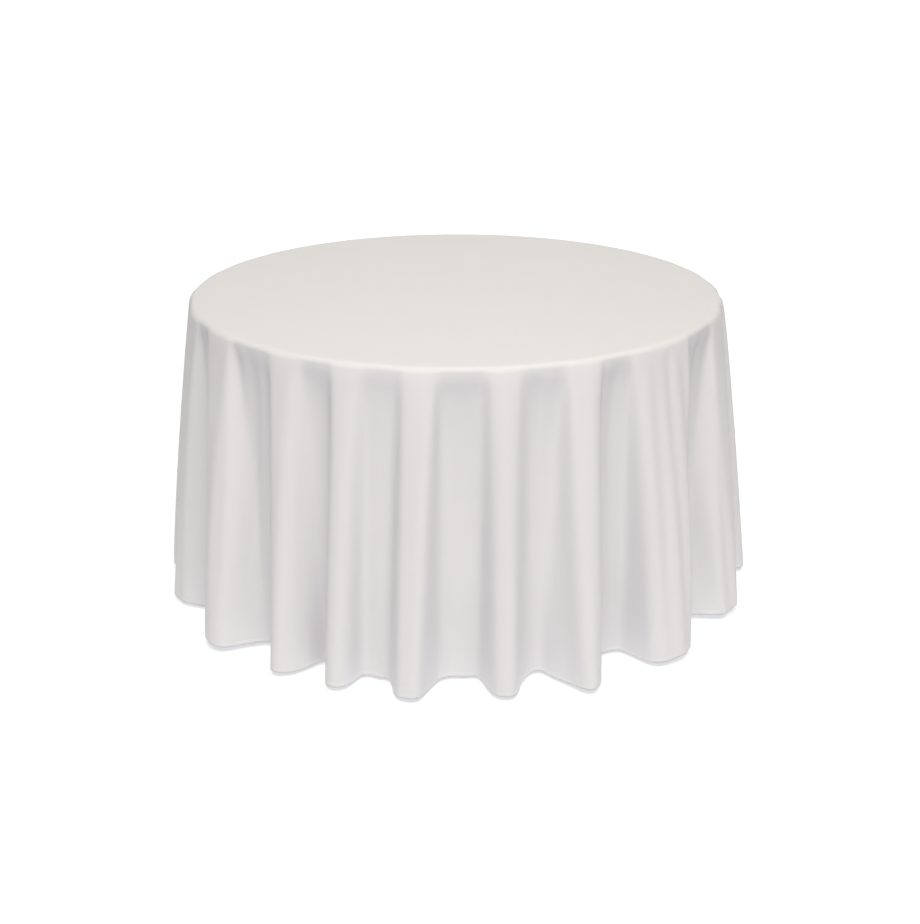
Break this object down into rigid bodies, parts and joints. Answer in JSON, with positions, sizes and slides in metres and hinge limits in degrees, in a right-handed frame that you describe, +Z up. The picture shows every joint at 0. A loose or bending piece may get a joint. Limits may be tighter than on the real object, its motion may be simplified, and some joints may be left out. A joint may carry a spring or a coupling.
{
  "type": "tablecloth on a round table",
  "caption": "Floor-length plain white round tablecloth draped in deep soft folds over a round folding banquet table.",
  "frame": {"origin": "on the floor at the centre of the round table", "axes": "+Z up, square to the table top; the leg frames pivot about lines along Y and stand towards +X and -X; the side first seen faces -Y"},
  "size_m": [1.6328, 1.6248, 0.7639],
  "materials": {
    "bracket_a_left": "satin",
    "bracket_a_right": "satin",
    "bracket_b_left": "satin",
    "bracket_b_right": "satin",
    "bracket_screws_a": "satin",
    "bracket_screws_b": "satin",
    "leg_paint": "satin",
    "edge_band": "satin",
    "foot_cap_a_left": "matte",
    "foot_cap_a_right": "matte",
    "foot_cap_b_left": "matte",
    "foot_cap_b_right": "matte",
    "hem": "matte",
    "lock_pin_a_left": "satin",
    "lock_pin_a_right": "satin",
    "lock_pin_b_left": "satin",
    "lock_pin_b_right": "satin",
    "pivot_bushes_a": "matte",
    "pivot_bushes_b": "matte",
    "plunger_sleeves_a": "satin",
    "plunger_sleeves_b": "satin",
    "plunger_springs_a": "satin",
    "plunger_springs_b": "satin",
    "pull_knob_a_left": "satin",
    "pull_knob_a_right": "satin",
    "pull_knob_b_left": "satin",
    "pull_knob_b_right": "satin",
    "runner_a": "satin",
    "runner_b": "satin",
    "runner_screws_a": "satin",
    "runner_screws_b": "satin",
    "tablecloth": "matte",
    "top_laminate": "satin",
    "top_panel": "satin",
    "tube_plugs_a": "matte",
    "tube_plugs_b": "matte"
  },
  "bodies": {
    "table_top": {"bracket_a_left": "bracket_a_left", "bracket_a_right": "bracket_a_right", "bracket_b_left": "bracket_b_left", "bracket_b_right": "bracket_b_right", "bracket_screws_a": "bracket_screws_a", "bracket_screws_b": "bracket_screws_b", "edge_band": "edge_band", "pivot_bushes_a": "pivot_bushes_a", "pivot_bushes_b": "pivot_bushes_b", "plunger_sleeves_a": "plunger_sleeves_a", "plunger_sleeves_b": "plunger_sleeves_b", "plunger_springs_a": "plunger_springs_a", "plunger_springs_b": "plunger_springs_b", "runner_a": "runner_a", "runner_b": "runner_b", "runner_screws_a": "runner_screws_a", "runner_screws_b": "runner_screws_b", "top_laminate": "top_laminate", "top_panel": "top_panel"},
    "leg_frame_a": {"cross_rail_a": "leg_paint", "foot_cap_a_left": "foot_cap_a_left", "foot_cap_a_right": "foot_cap_a_right", "leg_tube_a_left": "leg_paint", "leg_tube_a_right": "leg_paint", "lock_plates_a": "leg_paint", "pivot_tube_a": "leg_paint", "tube_plugs_a": "tube_plugs_a"},
    "leg_frame_b": {"cross_rail_b": "leg_paint", "foot_cap_b_left": "foot_cap_b_left", "foot_cap_b_right": "foot_cap_b_right", "leg_tube_b_left": "leg_paint", "leg_tube_b_right": "leg_paint", "lock_plates_b": "leg_paint", "pivot_tube_b": "leg_paint", "tube_plugs_b": "tube_plugs_b"},
    "tablecloth": {"tablecloth": "tablecloth", "hem": "hem"},
    "lock_a_left": {"lock_pin_a_left": "lock_pin_a_left", "pull_knob_a_left": "pull_knob_a_left"},
    "lock_a_right": {"lock_pin_a_right": "lock_pin_a_right", "pull_knob_a_right": "pull_knob_a_right"},
    "lock_b_left": {"lock_pin_b_left": "lock_pin_b_left", "pull_knob_b_left": "pull_knob_b_left"},
    "lock_b_right": {"lock_pin_b_right": "lock_pin_b_right", "pull_knob_b_right": "pull_knob_b_right"}
  },
  "joints": [
    {"name": "leg_fold_a", "type": "hinge", "parent": "table_top", "child": "leg_frame_a", "pos_m": [0.4, 0, 0.6912], "axis": [0, 1, 0], "range_deg": [0, 94.6]},
    {"name": "leg_fold_b", "type": "hinge", "parent": "table_top", "child": "leg_frame_b", "pos_m": [-0.4, 0, 0.6552], "axis": [0, -1, 0], "range_deg": [0, 94.86]},
    {"name": "lock_a_left_slide", "type": "slide", "parent": "table_top", "child": "lock_a_left", "axis": [0, 1, 0], "range_m": [0, 0.008]},
    {"name": "lock_a_right_slide", "type": "slide", "parent": "table_top", "child": "lock_a_right", "axis": [0, -1, 0], "range_m": [0, 0.008]},
    {"name": "lock_b_left_slide", "type": "slide", "parent": "table_top", "child": "lock_b_left", "axis": [0, 1, 0], "range_m": [0, 0.008]},
    {"name": "lock_b_right_slide", "type": "slide", "parent": "table_top", "child": "lock_b_right", "axis": [0, -1, 0], "range_m": [0, 0.008]},
    {"name": "cloth_lift", "type": "slide", "parent": "table_top", "child": "tablecloth", "axis": [0, 0, 1], "range_m": [0, 0.8]}
  ]
}
